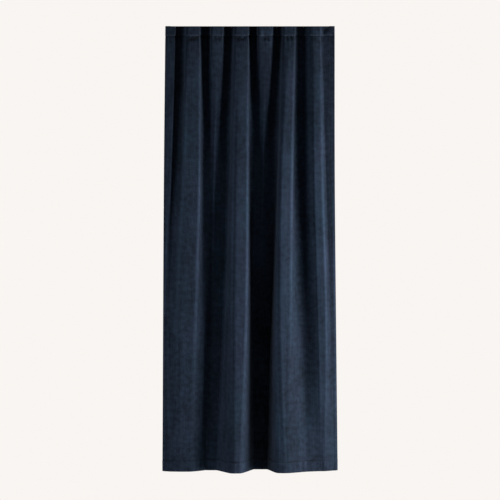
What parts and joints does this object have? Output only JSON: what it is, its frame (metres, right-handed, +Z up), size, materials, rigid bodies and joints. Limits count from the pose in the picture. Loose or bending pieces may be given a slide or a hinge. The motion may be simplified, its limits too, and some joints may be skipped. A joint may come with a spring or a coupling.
{
  "type": "curtain",
  "caption": "Full-length velvet curtain panel hanging from a straight stitched heading, in narrow folds that run together into broad ones at a deep turned-up hem.",
  "frame": {"origin": "middle of the top edge, at the mean depth of the folds, where the curtain is held", "axes": "+Z up along the drop; +X to the right as seen from the room; -Y out of the curtain's front, towards the room"},
  "size_m": [0.991, 0.197, 2.5004],
  "materials": {
    "velvet": "cut-pile velvet, dark navy blue",
    "tape": "plain woven tape, dark navy blue"
  },
  "bodies": {
    "root": {"curtain_panel": "velvet", "heading_tape": "tape"}
  },
  "joints": []
}
